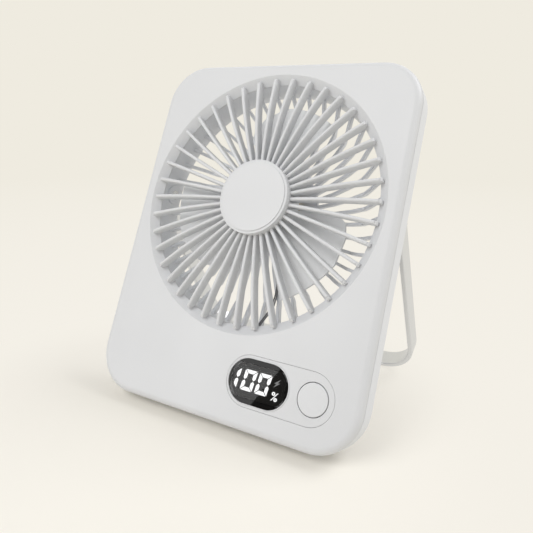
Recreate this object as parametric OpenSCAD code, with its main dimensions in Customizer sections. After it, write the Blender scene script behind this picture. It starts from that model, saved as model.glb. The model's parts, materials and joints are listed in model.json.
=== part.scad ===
// Portable camping fan: a slim rectangular housing with a round grille, a battery
// display and one button, standing on a fold-out U stand.
//
// Everything is drawn in the fan's own frame: the origin at the centre of the
// grille in the plane of the front face, X to the right, Y to the back and Z up
// the face. in_fan_frame() then leans it back as it stands on its stand.

/* [Housing] */
// Width of the housing
body_w = 135; // [128:1:150]
// Height of the housing
body_h = 167; // [162:1:185]
// Depth of the housing, front face to rear face
body_t = 16; // [15.8:0.1:18]
// Radius of the four corners of the face
corner_r = 20; // [18:0.5:24]
// Radius of the edge round the front face
front_edge_r = 3; // [2:0.1:3.2]
// Radius of the edge round the rear face
rear_edge_r = 4; // [3:0.1:4.5]
// Wall of both shells
wall_t = 2; // [1.6:0.1:2.2]
// Depth of the front shell's outer rim
front_rim = 3.2; // [3.2:0.1:3.4]
// Width of the groove between the two shells
seam_gap = 0.4; // [0.3:0.05:0.5]
// Depth of the groove between the two shells
seam_depth = 0.5; // [0.3:0.05:0.8]

/* [Front grille] */
// Distance from the top of the housing down to the grille's centre
grille_drop = 67.6; // [66:0.1:72]
// Radius of the air duct
duct_r = 57.5; // [56:0.1:58]
// Wall of the air duct
duct_wall = 1.6; // [1.2:0.1:1.8]
// Radius of the bevelled mouth at the front face
mouth_r = 61.5; // [60.8:0.1:62.4]
// Depth of the bevel
bevel_depth = 2.9; // [2.4:0.1:3.1]
// Number of ribs in each grille
rib_count = 40; // [36:1:44]
// Angle of the first front rib
rib_first = 4.1; // [0:0.1:8.9]
// Width of a front rib
rib_w = 1.6; // [1.4:0.05:1.8]
// Depth of a front rib
rib_depth = 4.4; // [4:0.1:4.6]
// Radius at which the front ribs end
rib_tip_r = 59.3; // [58.8:0.1:59.8]
// How far the ribs stand before the face at the hub
rib_rise_hub = 1.6; // [1.4:0.1:1.8]
// How far the ribs stand before the face at the tip
rib_rise_tip = 1; // [0.8:0.1:1.2]
// Rise of the rib's arch over a straight line
rib_arch = 1.37; // [1:0.01:1.6]
// Radius of the round end of a rib
rib_end_r = 1.2; // [0.8:0.1:1.4]
// Radius of the hub ring
hub_r = 17.4; // [16.8:0.1:18]
// Wall of the hub ring
hub_wall = 1.2; // [1:0.1:1.4]
// How far the hub cap stands before the front face
hub_rise = 4.25; // [4:0.05:4.6]
// Step from the hub cap's face back to the rim of its ring
hub_step = 0.35; // [0.2:0.05:0.5]
// Thickness of the hub cap
hub_cap_t = 1.2; // [1:0.1:1.6]

/* [Rear grille] */
// Radius of the plate that carries the motor
motor_plate_r = 22; // [20:0.5:25]
// Thickness of the plate that carries the motor
motor_plate_t = 2.2; // [2:0.1:2.4]
// How far the rear grille's dome stands behind the rear face
dome_rise = 5; // [4.5:0.1:6]
// Radius of the dome's flat middle
dome_flat_r = 46; // [45:0.1:47]
// Fall of the dome's shoulder for each millimetre outwards
dome_fall = 0.7; // [0.66:0.01:0.74]
// Width of a rear rib
rear_rib_w = 1.4; // [1.2:0.1:1.6]
// Depth of a rear rib
rear_rib_depth = 2.2; // [2:0.1:2.4]
// Angle that a rear rib sweeps from hub to rim
rear_rib_sweep = 10; // [0:1:20]

/* [Control panel] */
// Width of the panel
panel_w = 50.5; // [50:0.5:53]
// Height of the panel
panel_h = 21.6; // [21.4:0.1:23]
// Distance of the panel's centre right of the middle
panel_x = 30.75; // [30:0.05:31.5]
// Distance of the panel's centre below the grille's centre
panel_drop = 78.7; // [78.2:0.1:79.2]
// Clearance round the panel and the lens
panel_fit = 0.1; // [0.08:0.01:0.2]
// Width of the display lens
lens_w = 28.9; // [27.5:0.1:29.5]
// Height of the display lens
lens_h = 18.6; // [18:0.1:19]
// Left end of the lens, from the panel's left end
lens_inset = 1; // [0.8:0.1:1.2]
// Width of the bezel line round the lens
bezel_w = 0.45; // [0.3:0.05:0.6]
// Height of the bezel line
bezel_rise = 0.2; // [0.1:0.05:0.3]
// Thickness of the lens
lens_t = 0.8; // [0.7:0.1:1]
// Height of a digit
digit_h = 8.7; // [8:0.1:9]
// Width of a digit
digit_w = 5.8; // [5.4:0.1:6]
// Distance from one digit to the next
digit_pitch = 7.15; // [6.9:0.05:7.3]
// Width of a lit segment
segment_w = 1.45; // [1.2:0.05:1.5]
// Gap between two segments
segment_gap = 0.4; // [0.2:0.05:0.5]

/* [Power button] */
// Radius of the button
button_r = 6.6; // [6.4:0.05:6.8]
// Distance from the panel's right end to the button's centre
button_inset = 9.45; // [9:0.05:9.8]
// Gap round the button
button_gap = 0.3; // [0.25:0.01:0.4]
// How far the button stands before the panel
button_rise = 0.35; // [0.2:0.05:0.5]
// Travel of the button
button_travel = 0.6; // [0.4:0.05:0.7]

/* [Stand] */
// Angle between the stand and the housing's back
stand_angle = 51; // [46:1:55]
// Distance from the pivot to the outer face of the crossbar
stand_reach = 98.2; // [97:0.1:99]
// Width of the stand's band
stand_w = 8.8; // [8:0.1:9]
// Thickness of the stand's band
stand_t = 2.4; // [2.2:0.1:2.6]
// Radius of the band's long edges
stand_edge_r = 0.7; // [0.4:0.05:0.9]
// Distance from the housing's side to the leg's outer face
stand_inset = 1.2; // [1.15:0.05:1.3]
// Clearance outside the folded stand
slot_outer_gap = 0.35; // [0.3:0.05:0.4]
// Clearance before and behind the folded stand
slot_face_gap = 0.3; // [0.2:0.05:0.4]
// Clearance at the stop of the open stand
stop_gap = 0.03; // [0.02:0.01:0.05]
// Wall between the slot and the inside of the housing
slot_wall = 1.4; // [1.2:0.1:1.5]
// Distance from the rear face to the stand's pivot
pivot_depth = 5.2; // [5.1:0.1:5.4]
// Radius of the hinge pin
pin_r = 1.5; // [1.2:0.1:1.6]
// Radial clearance of the hinge pin in the leg
pin_play = 0.06; // [0.04:0.01:0.09]
// Radius of the boss that holds the hinge pin
pivot_boss_r = 5; // [4.5:0.1:5]
// How far the boss stands into the duct
pivot_boss_poke = 0.6; // [0.4:0.1:0.9]
// Thickness of the friction washer
washer_t = 0.4; // [0.3:0.05:0.45]
// Thickness of the foot strip
strip_t = 0.8; // [0.6:0.05:0.9]
// Width of the foot strip
strip_w = 2.4; // [2:0.1:3]
// How far the foot strip stands out of the crossbar
strip_rise = 0.2; // [0.15:0.05:0.25]
// Distance of the foot strip from the band's lower edge
strip_edge = 0.9; // [0.8:0.1:1.2]

/* [Impeller] */
// Number of blades
blade_count = 3; // [3:1:4]
// Radius of the blade tips
blade_tip_r = 47.5; // [44:0.1:50]
// Thickness of a blade
blade_t = 1.1; // [0.9:0.1:1.4]
// Angle from a blade's leading edge to its trailing edge
blade_span = 62; // [56:1:72]
// Angle of the first blade's leading edge
blade_first = -3; // [-60:1:60]
// Angle that the rounded leading corner takes off the tip
blade_corner = 27; // [10:1:30]
// Radius at which the rounded leading corner starts
blade_corner_r = 38; // [30:0.5:42]
// Front end of the blades, behind the front face
blade_front = 5.6; // [5.2:0.1:6]
// Rear end of the blades, behind the front face
blade_back = 11.6; // [10:0.1:11.8]
// Outer radius of the impeller's hub
rotor_hub_r = 16.5; // [16:0.1:17]
// Wall of the impeller's hub
rotor_hub_wall = 1.3; // [1.1:0.1:1.4]
// Front of the impeller's hub, behind the front face
rotor_front = 2.8; // [2.8:0.1:3]

/* [Motor] */
// Wall of the steel rotor can
can_wall = 0.9; // [0.7:0.1:1]
// Thickness of the ring magnet
magnet_t = 1.5; // [1.2:0.1:1.8]
// Air gap between magnet and stator
air_gap = 0.5; // [0.4:0.1:0.7]
// Number of stator teeth
tooth_count = 9; // [6:3:9]
// Radius of the motor shaft
shaft_r = 1; // [0.8:0.1:1.2]
// Running clearance of the shaft in its bearings
shaft_play = 0.03; // [0.02:0.01:0.05]
// Outer radius of the bearings
bearing_r = 3; // [2.8:0.1:3.2]
// Wall of the bearing tube
tube_wall = 0.6; // [0.5:0.1:0.7]
// Thickness of the motor base's flange
flange_t = 1.5; // [1.2:0.1:1.6]
// Radius of the motor base's flange
flange_r = 13; // [12:0.1:13.5]
// Thickness of the motor's circuit board
motor_board_t = 0.8; // [0.6:0.1:1]

/* [Electronics] */
// Width of the battery cell
cell_w = 50; // [44:0.5:51]
// Height of the battery cell
cell_h = 24.5; // [22:0.5:25]
// Thickness of the battery cell
cell_t = 7.6; // [6.5:0.1:7.6]
// Left end of the cell, left of the middle
cell_left = 56; // [55:0.1:56.5]
// Thickness of the circuit boards
board_t = 1.6; // [1.2:0.1:1.6]
// Width of the main board
board_w = 47.5; // [46.5:0.1:48]
// Height of the main board
board_h = 25; // [24.5:0.1:25.5]
// Front of the main board, behind the front face
board_front = 8.6; // [8.4:0.1:8.8]
// Width of the USB-C socket
usb_w = 8.94; // [8.9:0.02:9]
// Height of the USB-C socket
usb_h = 3.26; // [3.2:0.02:3.3]
// Distance of the USB-C socket right of the middle
usb_x = 30; // [26:0.5:31]

/* [Screws] */
// Radius of a screw's shank
screw_r = 1.05; // [0.9:0.05:1.1]
// Radius of a case screw's head
screw_head_r = 2; // [1.8:0.1:2.2]
// Height of a case screw's head
screw_head_h = 1.4; // [1.2:0.1:1.5]
// Radius of a screw boss
boss_r = 3; // [2.8:0.1:3.1]

/* [Hidden] */

$fn = 96;
cut = 1;        // how far a cut runs past the solid that it opens
sunk = 0.3;     // how far one solid reaches into another that it is one piece with
press = 0.02;   // radial clearance of a pressed or cemented fit
seat = 0.05;    // gap of a loose seat

// Housing
top_z = grille_drop;
bottom_z = top_z - body_h;
side_x = body_w / 2;
seam_y = front_rim + seam_gap;
rear_inner = body_t - wall_t;
corner_x = side_x - corner_r;
corner_top = top_z - corner_r;
corner_bottom = bottom_z + corner_r;
duct_outer = duct_r + duct_wall;

// Stand and its slot
pivot_y = body_t - pivot_depth;
heel = stand_w / 2;
leg_outer = side_x - stand_inset;
leg_inner = leg_outer - stand_t;
slot_outer = stand_inset - slot_outer_gap;
slot_inner = stand_inset + stand_t + washer_t + 2 * seat;
slot_front = pivot_y - heel - slot_face_gap;
slot_block_front = slot_front - wall_t / 2;
skin_end = body_t - rear_edge_r + rear_edge_r * 0.375;
heel_r = heel * sqrt(2) + slot_outer_gap;
boss_inner = duct_r - pivot_boss_poke;
pin_head_r = 2.4;
pin_head_t = 0.8;
strip_out = stand_reach + strip_rise;
strip_low = -heel + strip_edge;
stand_corner_r = corner_r - stand_inset;
stand_corner_z = stand_corner_r - stand_reach;
leg_top = -heel + 1;
washer_r = heel - 0.4;
strip_end = 1.5;        // from the foot strip's end to the start of the corner
strip_half = corner_x - strip_end;

// Lean of the fan: both the rear edge of the housing and the foot strip are on the ground
foot_y = pivot_y + strip_out * sin(stand_angle) + strip_low * cos(stand_angle);
foot_z = -strip_out * cos(stand_angle) + strip_low * sin(stand_angle);
edge_y = body_t - rear_edge_r;
edge_z = bottom_z + rear_edge_r;
foot_dy = foot_y - edge_y;
foot_dz = foot_z - edge_z;
lean = asin(rear_edge_r / norm([foot_dy, foot_dz])) + atan2(foot_dz, foot_dy);

// Place of the fan over the middle of its footprint
front_reach = front_edge_r * cos(lean) + (bottom_z + front_edge_r) * sin(lean) - front_edge_r;
bar_n = heel - stand_edge_r;
bar_d = stand_reach - stand_edge_r;
bar_y = pivot_y + bar_d * sin(stand_angle) + bar_n * cos(stand_angle);
bar_z = -bar_d * cos(stand_angle) + bar_n * sin(stand_angle);
back_reach = bar_y * cos(lean) + bar_z * sin(lean) + stand_edge_r;
origin_y = -(front_reach + back_reach) / 2;
origin_z = edge_y * sin(lean) - edge_z * cos(lean) + rear_edge_r;

// Front ribs: an arc through the rises at hub, middle and tip
rib_root_r = hub_r - hub_wall / 2;
rib_chord = norm([rib_tip_r - rib_root_r, rib_rise_hub - rib_rise_tip]);
rib_arc_r = rib_chord * rib_chord / (8 * rib_arch) + rib_arch / 2;
rib_arc_angle = 2 * asin(rib_chord / (2 * rib_arc_r));
rib_tilt = atan2(rib_rise_hub - rib_rise_tip, rib_tip_r - rib_root_r);
rib_mid_r = (rib_root_r + rib_tip_r) / 2;
rib_mid_rise = (rib_rise_hub + rib_rise_tip) / 2;
hub_ring_front = -hub_rise + hub_step;
hub_ring_back = 1.4;

// Rear grille
rear_grille_back = body_t + dome_rise;
motor_plate_front = rear_grille_back - motor_plate_t;
rear_rib_front = rear_grille_back - rear_rib_depth;
rear_rib_steps = 4;
rear_rib_reach = 0.6;   // how far the ribs' ends reach into the duct's wall
dome_shoulder_depth = rear_rib_depth * sqrt(1 + dome_fall * dome_fall);
dome_rim_r = duct_r + 0.8;
dome_rim_back = rear_grille_back - dome_fall * (dome_rim_r - dome_flat_r);
dome_inner_r = dome_flat_r - (dome_shoulder_depth - rear_rib_depth) / dome_fall;

// Panel
panel_z = -panel_drop;
panel_flange = 1.3;
panel_flange_t = 0.9;
panel_back = wall_t + seat + panel_flange_t;
lens_x = panel_x - panel_w / 2 + lens_inset + lens_w / 2;
lens_ledge = 1;         // ledge of the panel that the lens sits on
guide_play = 0.2;       // gap round the light guide
module_w = lens_w - 3.9;
module_h = lens_h - 5.6;
digit_front = lens_t + 2 * seat;
digit_t = 0.25;
digit_back = digit_front + digit_t;
digit_lean = 0.14;
digits_left = lens_x - 8.55;
digits_low = panel_z + 0.1 - digit_h / 2;
one_shift = 0.8;
sign_x = digits_left + 2 * digit_pitch + 2.6;
percent_z = digits_low + 0.9;
percent_r = 0.74;
percent_hole_r = 0.34;
percent_w = 1.3;
percent_h = 2.2;
slash_w = 0.36;
slash_half_w = 1.5;
slash_half_h = 1.7;
bolt_z = digits_low + 6.3;
bolt_half_w = 1.35;
bolt_half_h = 1.8;
bolt_waist = 0.2;

// Button
key_x = panel_x + panel_w / 2 - button_inset;
key_flange_r = button_r + 1.1;
key_flange_t = 0.8;
key_wall = 1;
key_edge_r = 0.4;
key_stem_r = 1.6;
switch_w = 6;
switch_t = 3.4;
switch_front = board_front - switch_t;
plunger_r = 1.7;
plunger_out = 1;
plunger_front = switch_front - plunger_out;

// Motor
can_r = rotor_hub_r - rotor_hub_wall - press;
rotor_plate_t = 1.1;
can_front = rotor_front + rotor_plate_t;
can_plate_t = 0.7;
can_back = 10.2;
can_boss_r = 2.6;
can_boss_back = can_front + can_plate_t + 0.4;
magnet_r = can_r - can_wall - press;
magnet_front = can_front + can_plate_t + 0.8;
magnet_back = can_back - 0.4;
stator_r = magnet_r - magnet_t - air_gap;
tube_r = bearing_r + press + tube_wall;
core_r = tube_r + press;
core_ring_r = core_r + 2.3;
stator_front = 6;
stator_back = 9.2;
shoe_t = 1.4;
shoe_angle = 360 / tooth_count * 0.86;
neck_w = 2.4;
coil_w = 3.8;
coil_over = 0.8;
flange_back = motor_plate_front;
flange_front = flange_back - flange_t;
tube_front = can_boss_back + sunk;
motor_board_back = flange_front;
motor_board_front = motor_board_back - motor_board_t;
bearing_t = 2;
bearing_front_y = tube_front + sunk;
bearing_rear_y = 10.2;
shaft_back = flange_back - 0.3;
ring_t = 0.3;
ring_r = 1.9;

// Electronics
board_back = board_front + board_t;
board_right = 57.3;
board_left = board_right - board_w;
board_top = -64.4;
board_bottom = board_top - board_h;
post_r = 2.2;
BOARD_HOLES = [[board_left + 3, board_top - 2.8], [board_right - 3.6, board_top - 2.8], [39, board_bottom + 2.6]];
cell_top = -65;
cell_mid_z = cell_top - cell_h / 2;
cell_front = 4.4;
cell_back = cell_front + cell_t;
cell_right = -cell_left + cell_w;
guard_w = 1;
guard_h = 16;
guard_out = 1.2;        // from the cell's end to the guard
guard_reach = 5;
foam_inset = 4;
seal_w = 0.8;
seal_t = 0.4;
seal_end = 1;
protect_w = 4.8;
protect_out = 0.4;
protect_t = 0.8;
protect_end = 0.6;
chip_w = 7;
chip_t = 0.9;
chip_right = board_right - 10.3;
chip_top = board_top - 4.6;
coil_body_w = 6.6;
coil_body_t = 2.8;
coil_body_left = board_left + 3.2;
coil_body_top = board_top - 9;
coil_dish_r = 2.2;
coil_dish_deep = 0.4;
usb_z = panel_z - 2;
usb_back = body_t - 0.3;
usb_wall = 0.3;
usb_floor = 0.6;
usb_play = 0.2;
tongue_half_w = 3.3;
tongue_half_h = 0.35;
tongue_inset = 0.7;
lead_r = 0.7;
lead_mid = (cell_right + board_left) / 2 + 2.1;
motor_lead_r = 0.35;
motor_lead_pitch = 0.9;
notch_x = 9.6;
notch_w = 4;
notch_y = 8.9;
notch_h = 1.4;
RED_ROUTE = [[cell_right + 1, 6.6, -68], [cell_right + 5, 6.8, -67], [lead_mid, 7.4, -67],
  [board_left - 1.8, 7.9, -69.6], [board_left + 1.6, 7.9, -70.4]];
BLACK_ROUTE = [[cell_right + 1, 6.6, -87], [cell_right + 5, 6.8, -88], [lead_mid, 7.4, -85.5],
  [board_left - 1.8, 7.9, -86.6], [board_left + 1.6, 7.9, -87]];
MOTOR_ROUTE = [[3.1, 16.05, -8.9], [4.8, 16.05, -12.2], [5.6, 17.3, -13.6], [6.3, 18.2, -16.2],
  [8.3, 18.2, -23.6], [9.9, 18.2, -32.6], [10.2, 18.2, -40.9], [10.5, 16.74, -46.2],
  [10.1, 14.02, -50.3], [9.4, 11.64, -53.9], [9.5, 8.9, -56.8], [9.1, 8.9, -60],
  [9.6, 9.2, -62.6], [10.6, 9.4, -64.1]];

// Screws
CASE_HOLES = [[-54, 54], [54, 54], [-57, -60], [57, -60], [3.4, -90.4]];
case_head_back = body_t - 0.5;
case_head_front = case_head_back - screw_head_h;
case_tip = 3.4;
case_tip_play = 0.4;
boss_split = 7.5;
boss_gap = 0.1;
screw_play = 0.2;
slot_half_l = 1.3;
slot_half_w = 0.25;
slot_deep = 0.7;
board_head_h = 1;
board_screw_l = 3;
motor_screw_ring = 9.5;
motor_screw_turn = 30;
motor_head_h = 1;
motor_head_back = rear_grille_back - 0.1;
motor_head_front = motor_head_back - motor_head_h;
motor_slot_deep = 0.5;

module in_fan_frame() {
  translate([0, origin_y, origin_z]) rotate([-lean, 0, 0]) children();
}

// Extrudes a flat shape, drawn in X and Z, from depth y0 to depth y1
module deep(y0, y1) {
  translate([0, y1, 0]) rotate([90, 0, 0]) linear_extrude(height = y1 - y0) children();
}

// A round bar along Y
module rod(r, y0, y1) {
  translate([0, y1, 0]) rotate([90, 0, 0]) cylinder(r = r, h = y1 - y0);
}

// A round tube along Y
module tube(r_out, r_in, y0, y1) {
  difference() {
    rod(r_out, y0, y1);
    rod(r_in, y0 - cut, y1 + cut);
  }
}

// A box given by its ranges in X, Y and Z
module block(x0, x1, y0, y1, z0, z1) {
  translate([x0, y0, z0]) cube([x1 - x0, y1 - y0, z1 - z0]);
}

// A lead of eight sides, swept along the points of its route
function unit(v) = v / norm(v);
function heading(route, i) =
  unit(route[min(i + 1, len(route) - 1)] - route[max(i - 1, 0)]);
function ring_point(at, along, r, a) =
  let (side = unit(cross(along, [0.3, 0.9, 0.3])))
  at + r * (cos(a) * side + sin(a) * cross(along, side));
module lead(route, r) {
  sides = 8;
  rings = len(route);
  points = [for (i = [0:rings - 1]) for (k = [0:sides - 1])
    ring_point(route[i], heading(route, i), r, k * 360 / sides)];
  walls = [for (i = [0:rings - 2]) for (k = [0:sides - 1])
    let (a = i * sides + k, b = i * sides + (k + 1) % sides)
    for (t = [[a, a + sides, b], [b, a + sides, b + sides]]) t];
  start = [for (k = [0:sides - 1]) k];
  end = [for (k = [sides - 1:-1:0]) (rings - 1) * sides + k];
  polyhedron(points = points, faces = concat(walls, [start], [end]));
}

// Outline of the housing, drawn in from its outer edge by inset
module outline(inset) {
  r = corner_r - inset;
  for (x = [-corner_x, corner_x])
    for (z = [corner_bottom, corner_top])
      translate([x, z]) circle(r = r);
  translate([-corner_x, bottom_z + inset]) square([2 * corner_x, body_h - 2 * inset]);
  translate([-side_x + inset, corner_bottom]) square([body_w - 2 * inset, corner_top - corner_bottom]);
}

// Flat shape with full round ends, w long and h high
module pill(x, z, w, h) {
  for (s = [-1, 1]) translate([x + s * (w - h) / 2, z]) circle(d = h);
  translate([x - (w - h) / 2, z - h / 2]) square([w - h, h]);
}

// Cross-section of the housing's edge: u outwards from the corner's centre, v from the face
module edge_section(depth, r) {
  square([corner_r - r, depth]);
  translate([0, r]) square([corner_r, depth - r]);
  intersection() {
    translate([corner_r - r, r]) circle(r = r, $fn = 64);
    square([corner_r, depth]);
  }
}

// A solid of the housing's outline from Y = 0 to depth, with a round edge at Y = 0
module cushion(depth, r) {
  for (sx = [0, 1]) for (sz = [0, 1])
    translate([sx ? -corner_x : corner_x, 0, sz ? corner_top : corner_bottom])
      mirror([sx, 0, 0]) mirror([0, 0, sz]) rotate([-90, 0, 0])
        rotate_extrude(angle = 90, $fn = 144) edge_section(depth, r);
  for (sx = [0, 1]) mirror([sx, 0, 0])
    translate([corner_x, 0, corner_bottom])
      linear_extrude(height = corner_top - corner_bottom) edge_section(depth, r);
  translate([corner_x, 0, corner_top]) rotate([0, -90, 0])
    linear_extrude(height = 2 * corner_x) edge_section(depth, r);
  translate([-corner_x, 0, corner_bottom]) rotate([0, 90, 0])
    linear_extrude(height = 2 * corner_x) edge_section(depth, r);
  block(-corner_x, corner_x, 0, depth, corner_bottom, corner_top);
}

// Cross-section of the stand's band: u outwards, v across the band
module band_section() {
  r = stand_edge_r;
  for (u = [r, stand_t - r])
    for (v = [-heel + r, heel - r])
      translate([u, v]) circle(r = r, $fn = 24);
  translate([0, -heel + r]) square([stand_t, stand_w - 2 * r]);
  translate([r, -heel]) square([stand_t - 2 * r, stand_w]);
}

module front_rib() {
  translate([rib_mid_r, -rib_mid_rise - rib_arch + rib_arc_r, 0])
    rotate([0, 0, rib_tilt - 90 - rib_arc_angle / 2 - 1])
      rotate_extrude(angle = rib_arc_angle + 2, $fn = 240) {
        translate([rib_arc_r - rib_w / 2, 0]) circle(d = rib_w, $fn = 32);
        translate([rib_arc_r - rib_depth, -rib_w / 2]) square([rib_depth - rib_w / 2, rib_w]);
      }
}

// Bounds the front ribs: hub ring wall inside, rounded ends outside
module rib_envelope() {
  rotate([-90, 0, 0]) rotate_extrude() {
    translate([hub_r - hub_wall, -hub_rise]) square([rib_tip_r - rib_end_r - hub_r + hub_wall, hub_rise + front_rim]);
    translate([hub_r, rib_end_r - rib_rise_tip]) square([rib_tip_r - hub_r, front_rim]);
    translate([rib_tip_r - rib_end_r, rib_end_r - rib_rise_tip]) circle(r = rib_end_r, $fn = 48);
  }
}

module front_face() {
  difference() {
    union() {
      cushion(front_rim, front_edge_r);
      deep(front_rim - sunk, seam_y) outline(seam_depth);
    }
    difference() {
      deep(wall_t, seam_y + cut) outline(wall_t);
      rod(duct_outer, 0, seam_y + cut);
    }
    rod(duct_r, -cut, seam_y + cut);
    translate([0, bevel_depth, 0]) rotate([90, 0, 0])
      cylinder(r1 = duct_r, r2 = mouth_r, h = bevel_depth);
    deep(-cut, wall_t + cut) pill(panel_x, panel_z, panel_w, panel_h);
  }
}

module front_shell() {
  color("#dcdcdc") in_fan_frame() {
    difference() {
      union() {
        front_face();
        intersection() {
          for (i = [0:rib_count - 1])
            rotate([0, -rib_first - i * 360 / rib_count, 0]) front_rib();
          rib_envelope();
        }
        tube(hub_r, hub_r - hub_wall, hub_ring_front, hub_ring_back);
        for (p = CASE_HOLES)
          translate([p[0], 0, p[1]]) rod(boss_r, wall_t - sunk, boss_split);
      }
      for (p = CASE_HOLES)
        translate([p[0], 0, p[1]]) rod(screw_r + press, case_tip - case_tip_play, boss_split + cut);
    }
  }
}

module hub_cap() {
  color("#dedede") in_fan_frame() {
    rod(hub_r - hub_wall - press, -hub_rise, -hub_rise + hub_cap_t);
    tube(hub_r - hub_wall - press, hub_r - 2 * hub_wall, -hub_rise + hub_cap_t - sunk, hub_ring_back - sunk);
  }
}

module control_panel() {
  color("#dadada") in_fan_frame() difference() {
    union() {
      deep(seat, wall_t + seat) pill(panel_x, panel_z, panel_w - 2 * panel_fit, panel_h - 2 * panel_fit);
      deep(wall_t + seat, panel_back)
        pill(panel_x, panel_z, panel_w + 2 * panel_flange, panel_h + 2 * panel_flange);
      deep(seat - bezel_rise, seat + sunk)
        pill(lens_x, panel_z, lens_w + 2 * bezel_w, lens_h + 2 * bezel_w);
    }
    deep(-cut, lens_t + seat) pill(lens_x, panel_z, lens_w, lens_h);
    deep(0, panel_back + cut) pill(lens_x, panel_z, lens_w - 2 * lens_ledge, lens_h - 2 * lens_ledge);
    translate([key_x, 0, panel_z]) rod(button_r + button_gap, -cut, panel_back + cut);
  }
}

module display_lens() {
  color("#1d1f21") in_fan_frame()
    deep(seat, lens_t + seat) pill(lens_x, panel_z, lens_w - 2 * panel_fit, lens_h - 2 * panel_fit);
}

module display_module() {
  guide_inset = 2 * (lens_ledge + guide_play);
  color("#15171a") in_fan_frame() {
    deep(digit_back, panel_back + 2 * seat) pill(lens_x, panel_z, lens_w - guide_inset, lens_h - guide_inset);
    block(lens_x - module_w / 2, lens_x + module_w / 2, panel_back + seat, board_front,
      panel_z - module_h / 2, panel_z + module_h / 2);
  }
}

// One bar of a digit: the upper right bar or the top bar, mirrored to its place
function slanted(p) = [p[0] + digit_lean * p[1], p[1]];
function mirrored(p, flip_x, flip_z) = [flip_x ? digit_w - p[0] : p[0], flip_z ? digit_h - p[1] : p[1]];
module upright_bar(flip_x, flip_z) {
  g = segment_gap / 2;
  w = segment_w;
  mid = digit_h / 2 + g;
  corner = digit_h - g * sqrt(2);
  points = [[digit_w, corner], [digit_w - w, corner - w], [digit_w - w, mid + w / 2],
    [digit_w - w / 2, mid], [digit_w, mid + w / 2]];
  polygon([for (p = points) slanted(mirrored(p, flip_x, flip_z))]);
}
module level_bar(flip_z) {
  w = segment_w;
  side = segment_gap / 2 * sqrt(2);
  points = [[side, digit_h], [digit_w - side, digit_h], [digit_w - w - side, digit_h - w],
    [w + side, digit_h - w]];
  polygon([for (p = points) slanted(mirrored(p, false, flip_z))]);
}
module digit_one() {
  for (flip_z = [false, true]) upright_bar(false, flip_z);
}
module digit_zero() {
  for (flip_z = [false, true]) {
    level_bar(flip_z);
    for (flip_x = [false, true]) upright_bar(flip_x, flip_z);
  }
}

module percent_sign() {
  polygon([[-slash_half_w, -slash_half_h], [slash_w - slash_half_w, -slash_half_h],
    [slash_half_w, slash_half_h], [slash_half_w - slash_w, slash_half_h]]);
  for (s = [-1, 1]) translate([s * percent_w / 2, -s * percent_h / 2]) difference() {
    circle(r = percent_r, $fn = 32);
    circle(r = percent_hole_r, $fn = 24);
  }
}

module charge_bolt() {
  polygon([[bolt_half_w, bolt_half_h], [-bolt_half_w, -bolt_waist], [-bolt_waist, -bolt_waist],
    [-bolt_half_w, -bolt_half_h], [bolt_half_w, bolt_waist], [bolt_waist, bolt_waist]]);
}

module display_digits() {
  color("white") in_fan_frame() deep(digit_front, digit_back) {
    translate([digits_left - digit_pitch - one_shift, digits_low]) digit_one();
    for (i = [0, 1]) translate([digits_left + i * digit_pitch, digits_low]) digit_zero();
    translate([sign_x, percent_z]) percent_sign();
    translate([sign_x, bolt_z]) charge_bolt();
  }
}

module power_button() {
  face = seat - button_rise;
  color("#e2e2e2") in_fan_frame() translate([key_x, 0, panel_z]) {
    difference() {
      union() {
        rod(button_r - key_edge_r, face, face + key_edge_r);
        translate([0, face + key_edge_r, 0]) rotate([90, 0, 0])
          rotate_extrude() translate([button_r - key_edge_r, 0]) circle(r = key_edge_r, $fn = 32);
        rod(button_r, face + key_edge_r, panel_back + seat + key_flange_t);
        rod(key_flange_r, panel_back + seat, panel_back + seat + key_flange_t);
      }
      rod(button_r - key_wall, face + key_wall, panel_back + cut + key_flange_t);
    }
    rod(key_stem_r, face + key_wall - sunk, plunger_front - seat);
  }
}

module switch_plunger() {
  color("#33312e") in_fan_frame() translate([key_x, 0, panel_z])
    rod(plunger_r, plunger_front, switch_front + 0.8);
}

module switch_body() {
  color("#2a2b2d") in_fan_frame() translate([key_x, 0, panel_z]) difference() {
    block(-switch_w / 2, switch_w / 2, switch_front, board_front, -switch_w / 2, switch_w / 2);
    rod(plunger_r + seat, switch_front - cut, switch_front + 0.8 + button_travel + seat);
  }
}

module main_board() {
  color("#1f6b45") in_fan_frame() difference() {
    block(board_left, board_right, board_front, board_back, board_bottom, board_top);
    for (p = BOARD_HOLES) translate([p[0], 0, p[1]]) rod(screw_r + seat, board_front - cut, board_back + cut);
  }
}

module controller_chip() {
  color("#26272a") in_fan_frame()
    block(chip_right - chip_w, chip_right, board_back, board_back + chip_t, chip_top - chip_w, chip_top);
}

module boost_inductor() {
  coil_back = board_back + coil_body_t;
  coil_half = coil_body_w / 2;
  color("#3b3c3f") in_fan_frame()
    translate([coil_body_left + coil_half, 0, coil_body_top - coil_half]) difference() {
      block(-coil_half, coil_half, board_back, coil_back, -coil_half, coil_half);
      rod(coil_dish_r, coil_back - coil_dish_deep, coil_back + cut);
    }
}

module usb_c_socket() {
  color("#b9bcc0") in_fan_frame() difference() {
    deep(board_back, usb_back) pill(usb_x, usb_z, usb_w, usb_h);
    deep(board_back + usb_floor, usb_back + cut)
      pill(usb_x, usb_z, usb_w - 2 * usb_wall, usb_h - 2 * usb_wall);
  }
}

module usb_c_tongue() {
  color("#222326") in_fan_frame()
    block(usb_x - tongue_half_w, usb_x + tongue_half_w, board_back + usb_floor, usb_back - tongue_inset,
      usb_z - tongue_half_h, usb_z + tongue_half_h);
}

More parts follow.
